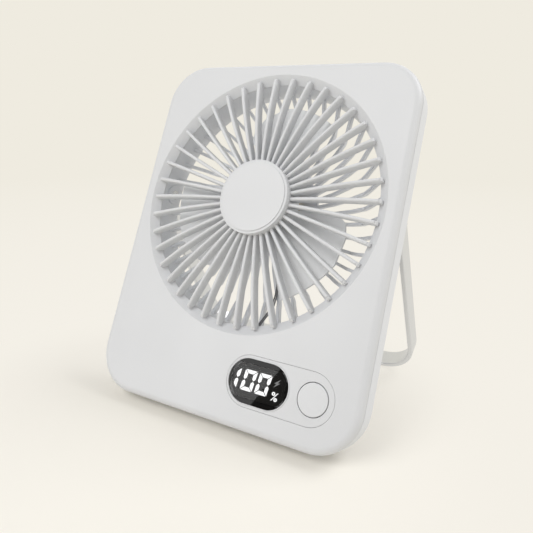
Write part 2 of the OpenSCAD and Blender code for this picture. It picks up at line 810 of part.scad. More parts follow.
module battery_cell() {
  seal_y = cell_front + (cell_t - seal_t) / 2;
  color("#c3c6c9") in_fan_frame() {
    block(-cell_left, cell_right, cell_front, cell_back, cell_top - cell_h, cell_top);
    block(cell_right - sunk, cell_right + seal_w, seal_y, seal_y + seal_t,
      cell_top - cell_h + seal_end, cell_top - seal_end);
  }
}

module battery_foam() {
  color("#3a3b3d") in_fan_frame()
    block(-cell_left + foam_inset, cell_right - foam_inset, cell_back, rear_inner,
      cell_mid_z - cell_h / 3, cell_mid_z + cell_h / 3);
}

module protection_board() {
  color("#2a7a52") in_fan_frame()
    block(cell_right + protect_out - protect_w, cell_right + protect_out, cell_front - protect_t, cell_front,
      cell_top - cell_h + protect_end, cell_top - protect_end);
}

module battery_lead_red() {
  color("#c0392b") in_fan_frame() lead(RED_ROUTE, lead_r);
}

module battery_lead_black() {
  color("#202124") in_fan_frame() lead(BLACK_ROUTE, lead_r);
}

// One swept rib of the rear grille as a flat strip
function rear_rib_angle(t) = rear_rib_sweep * t;
function rear_rib_r(t) = motor_plate_r - 1 + t * (duct_r + rear_rib_reach - motor_plate_r + 1);
function rear_rib_point(t, side) =
  let (r = rear_rib_r(t), a = rear_rib_angle(t))
  let (slope = atan2(rear_rib_sweep * PI / 180 * r, duct_r - motor_plate_r))
  [r * cos(a) - side * sin(a + slope), r * sin(a) + side * cos(a + slope)];
module rear_rib() {
  w = rear_rib_w / 2;
  polygon(concat(
    [for (i = [0:rear_rib_steps]) rear_rib_point(i / rear_rib_steps, w)],
    [for (i = [rear_rib_steps:-1:0]) rear_rib_point(i / rear_rib_steps, -w)]));
}

// Bounds the rear ribs: flat in the middle, with a shoulder that falls forwards to the duct
module dome_envelope() {
  rotate([-90, 0, 0]) rotate_extrude() polygon([
    [motor_plate_r - 2, rear_rib_front], [dome_inner_r, rear_rib_front],
    [dome_rim_r, dome_rim_back - dome_shoulder_depth], [dome_rim_r, dome_rim_back],
    [dome_flat_r, rear_grille_back], [motor_plate_r - 2, rear_grille_back]
  ]);
}

// Band that the folded stand fills: between two insets of the outline, below the pivot
module slot_band(y0, y1, inset0, inset1, z_top) {
  intersection() {
    difference() {
      deep(y0, y1) outline(inset0);
      deep(y0 - cut, y1 + cut) outline(inset1);
    }
    block(-side_x - cut, side_x + cut, y0 - cut, y1 + cut, bottom_z - cut, z_top);
  }
}

module rear_box() {
  difference() {
    translate([0, body_t, 0]) mirror([0, 1, 0]) cushion(body_t - seam_y, rear_edge_r);
    deep(seam_y - cut, rear_inner) outline(wall_t);
    rod(duct_r, seam_y - cut, body_t + cut);
  }
}

module rear_shell() {
  slot_top = heel + slot_face_gap;
  color("#e6e6e4") in_fan_frame() {
    difference() {
      union() {
        rear_box();
        tube(duct_outer, duct_r, seam_y, rear_inner + sunk);
        slot_band(slot_block_front, rear_inner + sunk, wall_t - sunk, slot_inner + slot_wall, heel_r + 1.3);
        intersection() {
          slot_band(seam_y, rear_inner, wall_t - sunk, slot_inner + slot_wall, heel_r + 1.3);
          block(-side_x, side_x, seam_y, rear_inner, -heel_r - 1.3, heel_r + 1.3);
        }
        for (s = [-1, 1])
          translate([s * boss_inner, pivot_y, 0]) rotate([0, s * 90, 0])
            cylinder(r = pivot_boss_r, h = side_x - slot_inner - boss_inner);
        for (p = CASE_HOLES)
          translate([p[0], 0, p[1]]) rod(boss_r, boss_split + boss_gap, rear_inner + sunk);
        for (p = BOARD_HOLES)
          translate([p[0], 0, p[1]]) rod(post_r, board_back, rear_inner + sunk);
        for (x = [-cell_left - guard_w - screw_play, cell_right + guard_out])
          block(x, x + guard_w, rear_inner - guard_reach, rear_inner + sunk,
            cell_mid_z - guard_h / 2, cell_mid_z + guard_h / 2);
        rod(motor_plate_r, motor_plate_front, rear_grille_back);
        intersection() {
          deep(dome_rim_back - dome_shoulder_depth - cut, rear_grille_back + cut)
            for (i = [0:rib_count - 1]) rotate(i * 360 / rib_count) rear_rib();
          dome_envelope();
        }
      }
      slot_band(slot_front, body_t + cut, slot_outer, slot_inner, slot_top);
      slot_band(skin_end, body_t + cut, -cut, slot_outer + sunk, slot_top);
      for (s = [-1, 1]) {
        slot_x = s > 0 ? side_x - slot_inner : -side_x + slot_outer;
        intersection() {
          translate([slot_x, pivot_y, 0]) rotate([0, 90, 0])
            cylinder(r = heel_r, h = slot_inner - slot_outer);
          translate([0, pivot_y, 0]) rotate([stand_angle, 0, 0])
            block(-side_x, side_x, -heel - stop_gap, 3 * heel, -3 * heel, 3 * heel);
        }
        translate([s * (boss_inner - cut), pivot_y, 0]) rotate([0, s * 90, 0])
          cylinder(r = pin_r + press, h = cut + side_x - slot_outer - seat - boss_inner);
        translate([s * (boss_inner - cut), pivot_y, 0]) rotate([0, s * 90, 0])
          cylinder(r = pin_head_r + press, h = cut + pin_head_t);
      }
      for (p = CASE_HOLES) translate([p[0], 0, p[1]]) {
        rod(screw_r + screw_play, boss_split - cut, body_t + cut);
        rod(screw_head_r + screw_play, case_head_front, body_t + cut);
      }
      for (p = BOARD_HOLES)
        translate([p[0], 0, p[1]]) rod(screw_r + press, board_back - cut, rear_inner);
      for (i = [0:2]) rotate([0, i * 120 + motor_screw_turn, 0]) translate([motor_screw_ring, 0, 0]) {
        rod(screw_r + screw_play, motor_plate_front - cut, rear_grille_back + cut);
        rod(screw_head_r + screw_play, motor_head_front, rear_grille_back + cut);
      }
      // notch in the duct's wall for the motor's leads
      block(notch_x - notch_w / 2, notch_x + notch_w / 2, notch_y - notch_h / 2, notch_y + notch_h / 2,
        -duct_outer - cut, -duct_r + 2);
      deep(rear_inner - cut, body_t + cut)
        pill(usb_x, usb_z, usb_w + 2 * usb_play, usb_h + 2 * usb_play);
    }
  }
}

module motor_base() {
  color("#b08d4f") in_fan_frame() difference() {
    union() {
      rod(tube_r, tube_front, flange_back);
      rod(flange_r, flange_front, flange_back);
    }
    rod(bearing_r + press, tube_front - cut, shaft_back + 0.1);
    for (i = [0:2]) rotate([0, i * 120 + motor_screw_turn, 0]) translate([motor_screw_ring, 0, 0])
      rod(screw_r + press, flange_front - cut, flange_back + cut);
  }
}

module motor_board() {
  color("#1f6b45") in_fan_frame() difference() {
    rod(flange_r - 0.6, motor_board_front, motor_board_back);
    rod(tube_r + press, motor_board_front - cut, motor_board_back + cut);
    for (i = [0:2]) rotate([0, i * 120 + motor_screw_turn, 0]) translate([motor_screw_ring, 0, 0])
      rod(screw_r + press, motor_board_front - cut, motor_board_back + cut);
  }
}

module motor_stator() {
  color("#74777b") in_fan_frame() deep(stator_front, stator_back) {
    difference() {
      union() {
        circle(r = core_ring_r);
        for (i = [0:tooth_count - 1]) rotate(i * 360 / tooth_count)
          translate([core_ring_r - 0.5, -neck_w / 2]) square([stator_r - shoe_t - core_ring_r + 1, neck_w]);
      }
      circle(r = core_r);
    }
    for (i = [0:tooth_count - 1]) rotate(i * 360 / tooth_count - shoe_angle / 2) intersection() {
      difference() {
        circle(r = stator_r);
        circle(r = stator_r - shoe_t);
      }
      square(stator_r);
      rotate(shoe_angle - 90) square(stator_r);
    }
  }
}

module motor_windings() {
  coil_in = core_ring_r + 0.2;
  coil_out = stator_r - shoe_t - 0.2;
  color("#b3672b") in_fan_frame()
    for (i = [0:tooth_count - 1]) rotate([0, i * 360 / tooth_count, 0]) difference() {
      block(coil_in, coil_out, stator_front - coil_over, stator_back + coil_over, -coil_w / 2, coil_w / 2);
      block(coil_in - cut, coil_out + cut, stator_front - seat, stator_back + seat,
        -neck_w / 2 - seat, neck_w / 2 + seat);
    }
}

module motor_bearings() {
  color("#a9acb0") in_fan_frame()
    for (y = [bearing_front_y, bearing_rear_y])
      tube(bearing_r, shaft_r + shaft_play, y, y + bearing_t);
}

module motor_leads() {
  color("#3c3d40") in_fan_frame()
    for (i = [0, 1]) translate([i * motor_lead_pitch, 0, 0]) lead(MOTOR_ROUTE, motor_lead_r);
}

module motor_screws() {
  color("#9a9da1") in_fan_frame()
    for (i = [0:2]) rotate([0, i * 120 + motor_screw_turn, 0]) translate([motor_screw_ring, 0, 0]) {
      rod(screw_r, motor_board_front, motor_head_front + sunk);
      difference() {
        rod(screw_head_r, motor_head_front, motor_head_back);
        block(-slot_half_l, slot_half_l, motor_head_back - motor_slot_deep, rear_grille_back,
          -slot_half_w, slot_half_w);
        block(-slot_half_w, slot_half_w, motor_head_back - motor_slot_deep, rear_grille_back,
          -slot_half_l, slot_half_l);
      }
    }
}

// Blade surface: radius by v, angle by u from the leading to the trailing edge
blade_rows = 10;
blade_cols = 12;
function blade_r(v) = rotor_hub_r - rotor_hub_wall / 2 + v * (blade_tip_r - rotor_hub_r + rotor_hub_wall / 2);
function corner_at(r) = max(0, (r - blade_corner_r) / (blade_tip_r - blade_corner_r));
function lead_angle(r) = blade_first - blade_corner * pow(corner_at(r), 2);
function blade_angle(r, u) = lead_angle(r) + u * (blade_first - blade_span - lead_angle(r));
function blade_depth(r, u) =
  let (turned = (blade_first - blade_angle(r, u)) / blade_span)
  blade_back - (blade_back - blade_front) * sin(90 * turned);
function blade_point(v, u, side) =
  let (r = blade_r(v), a = blade_angle(r, u))
  [r * cos(a), blade_depth(r, u) + side * blade_t / 2, r * sin(a)];
module blade() {
  n = blade_cols + 1;
  m = (blade_rows + 1) * n;
  points = [for (side = [-1, 1]) for (j = [0:blade_rows]) for (i = [0:blade_cols])
    blade_point(j / blade_rows, i / blade_cols, side)];
  outward = concat(
    [for (j = [0:blade_rows - 1]) for (i = [0:blade_cols - 1])
      for (t = [[0, 1, n], [1, n + 1, n]]) [for (k = t) j * n + i + k]],
    [for (j = [0:blade_rows - 1]) for (i = [0:blade_cols - 1])
      for (t = [[0, n, 1], [1, n, n + 1]]) [for (k = t) m + j * n + i + k]],
    [for (i = [0:blade_cols - 1]) for (t = [[i, m + i, i + 1], [i + 1, m + i, m + i + 1]]) t],
    [for (i = [0:blade_cols - 1]) let (a = blade_rows * n + i) for (t = [[a, a + 1, m + a], [a + 1, m + a + 1, m + a]]) t],
    [for (j = [0:blade_rows - 1]) let (a = j * n) for (t = [[a, a + n, m + a], [a + n, m + a + n, m + a]]) t],
    [for (j = [0:blade_rows - 1]) let (a = j * n + blade_cols) for (t = [[a, m + a, a + n], [a + n, m + a, m + a + n]]) t]);
  polyhedron(points = points, faces = [for (f = outward) [f[2], f[1], f[0]]]);
}

module impeller() {
  color("#c9cacb") in_fan_frame() {
    difference() {
      rod(rotor_hub_r, rotor_front, can_back + 0.6);
      rod(rotor_hub_r - rotor_hub_wall, can_front, can_back + cut + 0.6);
    }
    for (i = [0:blade_count - 1]) rotate([0, i * 360 / blade_count, 0]) blade();
  }
}

module rotor_can() {
  color("#8d9094") in_fan_frame() {
    difference() {
      rod(can_r, can_front, can_back);
      rod(can_r - can_wall, can_front + can_plate_t, can_back + cut);
      rod(shaft_r + press, can_front - cut, can_back);
    }
    tube(can_boss_r, shaft_r + press, can_front, can_boss_back);
  }
}

module rotor_magnet() {
  color("#4a4b4e") in_fan_frame() tube(magnet_r, magnet_r - magnet_t, magnet_front, magnet_back);
}

module motor_shaft() {
  color("#c8cacd") in_fan_frame() rod(shaft_r, can_front + press, shaft_back);
}

module retaining_ring() {
  y = bearing_rear_y + bearing_t + 0.1;
  color("#55585c") in_fan_frame() tube(ring_r, shaft_r + press, y, y + ring_t);
}

module case_screws() {
  color("#8f9296") in_fan_frame()
    for (p = CASE_HOLES) translate([p[0], 0, p[1]]) {
      rod(screw_r, case_tip, case_head_front + sunk);
      difference() {
        rod(screw_head_r, case_head_front, case_head_back);
        block(-slot_half_l, slot_half_l, case_head_back - slot_deep, body_t, -slot_half_w, slot_half_w);
        block(-slot_half_w, slot_half_w, case_head_back - slot_deep, body_t, -slot_half_l, slot_half_l);
      }
    }
}

module board_screws() {
  color("#8f9296") in_fan_frame()
    for (p = BOARD_HOLES) translate([p[0], 0, p[1]]) {
      rod(screw_r, board_front - sunk, board_back + board_screw_l);
      rod(screw_head_r, board_front - board_head_h, board_front);
    }
}

// The stand in its own frame: pivot at the origin, legs down, band across Y
module stand_band() {
  for (s = [-1, 1]) {
    translate([s > 0 ? leg_inner : -leg_outer, 0, stand_corner_z])
      linear_extrude(height = leg_top - stand_corner_z) band_section();
    translate([s * corner_x, 0, stand_corner_z]) rotate([90, 0, 0]) mirror([s < 0 ? 1 : 0, 0, 0])
      rotate([0, 0, -90]) rotate_extrude(angle = 90, $fn = 144)
        translate([stand_corner_r - stand_t, 0]) band_section();
    translate([s > 0 ? leg_inner : -leg_outer, 0, 0]) rotate([90, 0, 90]) linear_extrude(height = stand_t) {
      circle(r = heel);
      translate([-heel, 0]) square(heel);
      translate([-heel, leg_top - 2]) square([stand_w, 2 - leg_top]);
    }
  }
  translate([-corner_x, 0, stand_t - stand_reach]) rotate([0, 90, 0])
    linear_extrude(height = 2 * corner_x) band_section();
}

module open_stand() {
  in_fan_frame() translate([0, pivot_y, 0]) rotate([stand_angle, 0, 0]) children();
}

module stand() {
  color("#e2e2e0") open_stand() difference() {
    stand_band();
    rotate([0, 90, 0]) translate([0, 0, -side_x]) cylinder(r = pin_r + pin_play, h = body_w);
    block(-strip_half - press, strip_half + press, strip_low - press, strip_low + strip_w + press,
      -stand_reach - cut, -strip_out + strip_t);
  }
}

module stand_foot_strip() {
  color("#5a5c5e") open_stand()
    block(-strip_half, strip_half, strip_low, strip_low + strip_w, -strip_out, -strip_out + strip_t);
}

module hinge_pins() {
  color("#b4b7ba") in_fan_frame()
    for (s = [-1, 1]) translate([s * boss_inner, pivot_y, 0]) rotate([0, s * 90, 0]) {
      cylinder(r = pin_r, h = leg_outer - boss_inner - 0.1);
      cylinder(r = pin_head_r, h = pin_head_t - seat);
    }
}

module hinge_washers() {
  color("#d8d4c8") in_fan_frame()
    for (s = [-1, 1])
      translate([s * (leg_inner - seat - washer_t), pivot_y, 0]) rotate([0, s * 90, 0]) difference() {
        cylinder(r = washer_r, h = washer_t);
        translate([0, 0, -cut]) cylinder(r = pin_r + pin_play, h = washer_t + 2 * cut);
      }
}

front_shell();
hub_cap();
control_panel();
display_lens();
display_module();
display_digits();
power_button();
switch_plunger();
switch_body();
main_board();
controller_chip();
boost_inductor();
usb_c_socket();
usb_c_tongue();
battery_cell();
battery_foam();
protection_board();
battery_lead_red();
battery_lead_black();
rear_shell();
motor_base();
motor_board();
motor_stator();
motor_windings();
motor_bearings();
motor_leads();
motor_screws();
impeller();
rotor_can();
rotor_magnet();
motor_shaft();
retaining_ring();
case_screws();
board_screws();
stand();
stand_foot_strip();
hinge_pins();
hinge_washers();
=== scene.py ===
import json
import math

import bpy
from mathutils import Euler, Matrix, Vector

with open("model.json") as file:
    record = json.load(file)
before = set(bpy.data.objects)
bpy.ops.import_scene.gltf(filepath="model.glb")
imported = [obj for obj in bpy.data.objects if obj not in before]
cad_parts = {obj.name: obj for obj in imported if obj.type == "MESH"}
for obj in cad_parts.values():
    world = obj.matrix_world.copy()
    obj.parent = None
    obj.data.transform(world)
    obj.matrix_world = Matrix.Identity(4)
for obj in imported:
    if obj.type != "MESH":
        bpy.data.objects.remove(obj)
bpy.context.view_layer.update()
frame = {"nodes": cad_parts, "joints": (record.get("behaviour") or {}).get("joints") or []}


# ---- The fan's own directions
# The housing leans back on its stand. The impeller's axis points from the front face to the
# back, and the place of its joint is the centre of the grille.
MM = 0.001
spin = next(joint for joint in frame["joints"] if joint["name"] == "impeller_spin")
grille_centre = Vector(spin["pos_m"])
across = Vector((1.0, 0.0, 0.0))
into = Vector(spin["axis"]).normalized()
upwards = across.cross(into)
lean_back = Matrix((across, into, upwards)).transposed().to_4x4()
fan_place = Matrix.Translation(grille_centre) @ lean_back


# ---- Camera
# It looks up at the fan from the right of its front face, and its view is shifted a little
# to frame the fan. Its place and its turn are given in the fan's own directions.
CAMERA_PLACE = Vector((123.25, -189.39, -46.66)) * MM
CAMERA_TURN = (98.296, -11.911, 24.268)
CAMERA_LENS_MM = 33.80
CAMERA_SENSOR_MM = 36.0
CAMERA_SHIFT = (-0.08115, -0.04518)
CAMERA_NEAR_M = 0.01

lens_data = bpy.data.cameras.new("camera")
lens_data.lens = CAMERA_LENS_MM
lens_data.sensor_width = CAMERA_SENSOR_MM
lens_data.shift_x, lens_data.shift_y = CAMERA_SHIFT
lens_data.clip_start = CAMERA_NEAR_M
camera = bpy.data.objects.new("camera", lens_data)
bpy.context.scene.collection.objects.link(camera)
turn = Euler([math.radians(angle) for angle in CAMERA_TURN]).to_matrix().to_4x4()
camera.matrix_world = fan_place @ Matrix.Translation(CAMERA_PLACE) @ turn
bpy.context.scene.camera = camera
bpy.context.scene.view_settings.view_transform = "Standard"


# ---- Paper sweep and world
# A cream paper sweep under and behind the fan. Near the fan it is matt paper that takes the
# soft shadow. Further off it glows in its own even colour, with painted shade that darkens it
# to a deeper cream away from the fan. That deeper cream of painted shade is also the world's,
# where it is seen, mirrored or looked through to.
PAPER_COLOUR = "#f4f0e7"
# Painted shade: the deeper cream that the far paper and the seen world are tinted to.
PAPER_PAINTED_SHADE_COLOUR = "#efebe0"
SHADOW_PLACE = Vector((-10, -60, 0)) * MM
PAPER_CLEAR_M = 0.045
PAPER_GLOW_M = 0.15
PAPER_PAINTED_SHADE_END_M = 0.9
PAPER_SIZE_M = 6.0
WORLD_LIGHT = "#ffffff"
WORLD_STRENGTH = 0.56


def linear(hex_colour):
    """An sRGB colour such as "#dcdcdc" as linear red, green, blue and alpha."""
    parts = [int(hex_colour[i:i + 2], 16) / 255 for i in (1, 3, 5)]
    curve = [p / 12.92 if p <= 0.04045 else ((p + 0.055) / 1.055) ** 2.4 for p in parts]
    return (*curve, 1.0)


def add(tree, kind, settings=None, slots=None, **inputs):
    """Adds a node with its settings. Its inputs are given by name, or by number in slots
    where a name repeats. Each is a value, or a socket to link from."""
    node = tree.nodes.new(kind)
    for name, value in (settings or {}).items():
        setattr(node, name, value)
    wanted = [(node.inputs[number], value) for number, value in (slots or {}).items()]
    for name, value in inputs.items():
        title = name.replace("_", " ").lower()
        found = next(s for s in node.inputs if s.name.lower() == title and s.enabled)
        wanted.append((found, value))
    for socket, value in wanted:
        if isinstance(value, bpy.types.NodeSocket):
            tree.links.new(value, socket)
        else:
            socket.default_value = value
    return node


def blank(name):
    """A new material and its empty node tree."""
    material = bpy.data.materials.new(name)
    material.use_nodes = True
    material.node_tree.nodes.clear()
    return material, material.node_tree


sweep_paper, tree = blank("sweep_paper_matt")
place = add(tree, "ShaderNodeNewGeometry").outputs["Position"]
distance = add(tree, "ShaderNodeVectorMath", {"operation": "DISTANCE"},
               {0: place, 1: SHADOW_PLACE}).outputs["Value"]
glow_share = add(tree, "ShaderNodeMapRange", {"interpolation_type": "SMOOTHSTEP"},
                 value=distance, from_min=PAPER_CLEAR_M, from_max=PAPER_GLOW_M)
paper = add(tree, "ShaderNodeBsdfDiffuse", color=linear(PAPER_COLOUR))
# Painted shade: the glowing paper is tinted to a deeper cream further from the fan.
painted_shade_share = add(tree, "ShaderNodeMapRange", value=distance, from_min=PAPER_GLOW_M,
                from_max=PAPER_PAINTED_SHADE_END_M)
painted_shade_tint = add(tree, "ShaderNodeMix", {"data_type": "RGBA"},
               {6: linear(PAPER_COLOUR), 7: linear(PAPER_PAINTED_SHADE_COLOUR)},
               factor=painted_shade_share.outputs["Result"])
glow = add(tree, "ShaderNodeEmission", color=painted_shade_tint.outputs[2], strength=1.0)
mixed = add(tree, "ShaderNodeMixShader", slots={1: paper.outputs[0], 2: glow.outputs[0]},
            fac=glow_share.outputs["Result"])
add(tree, "ShaderNodeOutputMaterial", surface=mixed.outputs[0])

half = PAPER_SIZE_M / 2
corners = [(-half, -half, 0), (half, -half, 0), (half, half, 0), (-half, half, 0)]
sweep_mesh = bpy.data.meshes.new("paper_sweep")
sweep_mesh.from_pydata(corners, [], [(0, 1, 2, 3)])
sweep_mesh.materials.append(sweep_paper)
paper_sweep = bpy.data.objects.new("paper_sweep", sweep_mesh)
bpy.context.scene.collection.objects.link(paper_sweep)

world = bpy.data.worlds.new("studio")
bpy.context.scene.world = world
world.use_nodes = True
tree = world.node_tree
tree.nodes.clear()
rays = add(tree, "ShaderNodeLightPath").outputs
# Where the world is seen, mirrored or looked through to, it shows the painted shade's deeper
# cream.
seen = add(tree, "ShaderNodeBackground", color=linear(PAPER_PAINTED_SHADE_COLOUR), strength=1.0)
lit = add(tree, "ShaderNodeBackground", color=linear(WORLD_LIGHT), strength=WORLD_STRENGTH)
shown = add(tree, "ShaderNodeMath", {"operation": "MAXIMUM"},
            {0: rays["Is Camera Ray"], 1: rays["Is Transmission Ray"]})
seen_share = add(tree, "ShaderNodeMath", {"operation": "MAXIMUM"},
                 {0: shown.outputs["Value"], 1: rays["Is Glossy Ray"]})
mixed = add(tree, "ShaderNodeMixShader", slots={1: lit.outputs[0], 2: seen.outputs[0]},
            fac=seen_share.outputs["Value"])
add(tree, "ShaderNodeOutputWorld", surface=mixed.outputs[0])


# ---- Studio lamps
# Two large soft boxes: the key from the upper left before the fan, and a rim light from the
# upper right behind it. A narrow strip box before the fan is there for the display, which
# mirrors its slanted edge, and it doesn't light matt surfaces.
STRIP_PLACE = Vector((-375, -600, -134)) * MM
STRIP_SIZE = (200 * MM, 400 * MM)
STRIP_SLANT = 30.2
STRIP_WATTS = 1.5


def soft_box(name, place, size, watts):
    """A square soft box at a place in millimetres, turned to the grille."""
    data = bpy.data.lights.new(name, "AREA")
    data.size = size * MM
    data.energy = watts
    lamp = bpy.data.objects.new(name, data)
    lamp.location = Vector(place) * MM
    aim = grille_centre - lamp.location
    lamp.rotation_euler = aim.to_track_quat("-Z", "Y").to_euler()
    bpy.context.scene.collection.objects.link(lamp)


soft_box("key_box", place=(-350, -750, 950), size=600, watts=5.2)
soft_box("rim_box", place=(600, 350, 800), size=500, watts=3.8)

strip_data = bpy.data.lights.new("strip_box", "AREA")
strip_data.shape = "RECTANGLE"
strip_data.size, strip_data.size_y = STRIP_SIZE
strip_data.energy = STRIP_WATTS
strip_box = bpy.data.objects.new("strip_box", strip_data)
faces_fan = Matrix.Rotation(math.radians(90), 4, "X")
slant = Matrix.Rotation(math.radians(STRIP_SLANT), 4, "Y")
strip_box.matrix_world = fan_place @ Matrix.Translation(STRIP_PLACE) @ slant @ faces_fan
strip_box.visible_diffuse = False
bpy.context.scene.collection.objects.link(strip_box)


# ---- Front cover
# The front moulding of light grey ABS, with the mouth, the ribs and the hub ring in one
# piece. It is spark-eroded in the mould, which leaves a fine even grain and a soft gloss.
# The grain of a real mould is about 0.1 mm, and is drawn coarser so that it shows.
TINT_DRIFT_MM = 40
DRIFT_MIDDLE = (0.3, 0.7)
GLOSS_SPREAD = 0.04
GRAIN_HEIGHT = 0.02 * MM
MOULD_EDGE = 0.25 * MM


def moulded_plastic(name, colour, shade, roughness, grain_mm=0.35, grain_depth=0.25):
    """Injection-moulded plastic: an even colour with a slow drift to a near shade, a fine
    grain from the mould, a gloss that drifts with the shade, and edges a little rounded."""
    material, tree = blank(name)
    place = add(tree, "ShaderNodeTexCoord").outputs["Object"]
    drift = add(tree, "ShaderNodeTexNoise", vector=place, scale=1 / (TINT_DRIFT_MM * MM),
                detail=2.0, roughness=0.5).outputs["Fac"]
    tint = add(tree, "ShaderNodeMix", {"data_type": "RGBA"},
               {6: linear(colour), 7: linear(shade)}, factor=drift)
    grain = add(tree, "ShaderNodeTexNoise", vector=place, scale=1 / (grain_mm * MM),
                detail=3.0, roughness=0.6)
    gloss = add(tree, "ShaderNodeMapRange", value=drift, from_min=DRIFT_MIDDLE[0],
                from_max=DRIFT_MIDDLE[1], to_min=roughness - GLOSS_SPREAD,
                to_max=roughness + GLOSS_SPREAD)
    edge = add(tree, "ShaderNodeBevel", {"samples": 6}, radius=MOULD_EDGE)
    bump = add(tree, "ShaderNodeBump", strength=grain_depth, distance=GRAIN_HEIGHT,
               height=grain.outputs["Fac"], normal=edge.outputs["Normal"])
    skin = add(tree, "ShaderNodeBsdfPrincipled", base_color=tint.outputs[2],
               roughness=gloss.outputs["Result"], normal=bump.outputs["Normal"], ior=1.5)
    add(tree, "ShaderNodeOutputMaterial", surface=skin.outputs["BSDF"])
    return material


def dress(node, material):
    """Gives a carried-over solid its finish."""
    mesh = frame["nodes"][node].data
    mesh.materials.clear()
    mesh.materials.append(material)


dress("front_shell", moulded_plastic(
    "front_cover_abs_light_grey", colour="#dcdddf", shade="#d8d9db", roughness=0.46))


# ---- Hub cap
# A round cap of the same ABS, pressed into the hub ring. Its mould is polished finer than
# the cover's, so it has less grain.
dress("hub_cap", moulded_plastic(
    "hub_cap_abs_satin", colour="#dddee0", shade="#d9dadc", roughness=0.42, grain_depth=0.1))


# ---- Control panel
# The pill-shaped insert of the same grey ABS, held from behind the cover, with a thin raised
# line round the display.
dress("control_panel", moulded_plastic(
    "control_panel_abs_light_grey", colour="#dcdddf", shade="#d8d9db", roughness=0.46))


# ---- Display lens
# A flush window of smoked acrylic, cast and polished, with a black border printed round its
# clear part. It is nearly black but for the lit digits behind it, and glossy with a faint
# smear.
LENS_COLOUR = "#030304"
LENS_DENSITY = 0.5
LENS_COAT_IOR = 1.2
LENS_POLISH = (0.004, 0.02)
SMEAR_MM = 9
LENS_PLACE = Vector((20.95, 0, -78.7)) * MM
WINDOW_HALF = (13.0 * MM, 7.0 * MM)
BORDER_FADE = 0.2 * MM

lens_acrylic, tree = blank("lens_acrylic_smoked")
place = add(tree, "ShaderNodeTexCoord").outputs["Object"]
smear = add(tree, "ShaderNodeTexNoise", vector=place, scale=1 / (SMEAR_MM * MM), detail=2.0)
polish = add(tree, "ShaderNodeMapRange", value=smear.outputs["Fac"], to_min=LENS_POLISH[0],
             to_max=LENS_POLISH[1])
in_fan = add(tree, "ShaderNodeMapping", {"vector_type": "TEXTURE"}, vector=place,
             location=fan_place @ LENS_PLACE, rotation=fan_place.to_euler())
from_middle = add(tree, "ShaderNodeVectorMath", {"operation": "ABSOLUTE"},
                  vector=in_fan.outputs["Vector"])
sides = add(tree, "ShaderNodeSeparateXYZ", vector=from_middle.outputs["Vector"])
beyond = [add(tree, "ShaderNodeMapRange", value=sides.outputs[axis], from_min=edge,
              from_max=edge + BORDER_FADE, to_min=LENS_DENSITY, to_max=1.0).outputs["Result"]
          for axis, edge in zip("XZ", WINDOW_HALF)]
print_share = add(tree, "ShaderNodeMath", {"operation": "MAXIMUM"},
                  {0: beyond[0], 1: beyond[1]})
smoke = add(tree, "ShaderNodeBsdfDiffuse", color=linear(LENS_COLOUR))
through = add(tree, "ShaderNodeBsdfTransparent", color=linear("#ffffff"))
tinted = add(tree, "ShaderNodeMixShader", slots={1: through.outputs[0], 2: smoke.outputs[0]},
             fac=print_share.outputs["Value"])
mirror = add(tree, "ShaderNodeBsdfGlossy", color=linear("#ffffff"),
             roughness=polish.outputs["Result"])
sheen = add(tree, "ShaderNodeFresnel", ior=LENS_COAT_IOR)
window = add(tree, "ShaderNodeMixShader", slots={1: tinted.outputs[0], 2: mirror.outputs[0]},
             fac=sheen.outputs["Fac"])
add(tree, "ShaderNodeOutputMaterial", surface=window.outputs[0])
dress("display_lens", lens_acrylic)


# ---- Display module and digits
# A black ABS module that carries the clear light guides of the digits. The lit segments are
# nearly even white, with no glow round them, and the bolt is dimmer than the rest.
DIGIT_LEVEL = 4.6
DIGIT_DRIFT = (0.92, 1.08)
CLOUD_MM = 1.2
BOLT_LEVEL = 0.9
BOLT_PLACE = Vector((29.3, 1.0, -76.65)) * MM
BOLT_REACH = 2.5 * MM

dress("display_module", moulded_plastic(
    "display_module_abs_black", colour="#060607", shade="#09090a", roughness=0.6))

digit_light, tree = blank("digit_light_guide_white")
place = add(tree, "ShaderNodeNewGeometry").outputs["Position"]
cloud = add(tree, "ShaderNodeTexNoise", vector=place, scale=1 / (CLOUD_MM * MM), detail=1.0)
level = add(tree, "ShaderNodeMapRange", value=cloud.outputs["Fac"],
            to_min=DIGIT_DRIFT[0] * DIGIT_LEVEL, to_max=DIGIT_DRIFT[1] * DIGIT_LEVEL)
from_bolt = add(tree, "ShaderNodeVectorMath", {"operation": "DISTANCE"},
                {0: place, 1: fan_place @ BOLT_PLACE})
full_level = add(tree, "ShaderNodeMath", {"operation": "GREATER_THAN"},
                 {0: from_bolt.outputs["Value"], 1: BOLT_REACH})
dimmed = add(tree, "ShaderNodeMapRange", value=full_level.outputs["Value"],
             to_min=BOLT_LEVEL / DIGIT_LEVEL, to_max=1.0)
strength = add(tree, "ShaderNodeMath", {"operation": "MULTIPLY"},
               {0: level.outputs["Result"], 1: dimmed.outputs["Result"]})
guide = add(tree, "ShaderNodeEmission", color=linear("#ffffff"),
            strength=strength.outputs["Value"])
add(tree, "ShaderNodeOutputMaterial", surface=guide.outputs[0])
dress("display_digits", digit_light)


# ---- Power button and black mouldings
# A round key of ABS in a narrow gap, its face polished a little by fingers. The switch under
# it and the tongue of the charging socket are moulded in black nylon.
dress("power_button", moulded_plastic(
    "power_button_abs_satin", colour="#dedfe1", shade="#dadbdd", roughness=0.38,
    grain_depth=0.1))
switch_nylon = moulded_plastic(
    "switch_nylon_black", colour="#1b1c1e", shade="#232426", roughness=0.55)
for node in ("switch_plunger", "switch_body", "usb_c_tongue"):
    dress(node, switch_nylon)


# ---- Rear cover
# The rear moulding of off-white ABS, with the duct, the rear ribs and the slot of the
# stand. Its mould is polished, so its outer band catches more light than the front.
dress("rear_shell", moulded_plastic(
    "rear_cover_abs_off_white", colour="#e2e4e8", shade="#dee0e4", roughness=0.34,
    grain_depth=0.12))


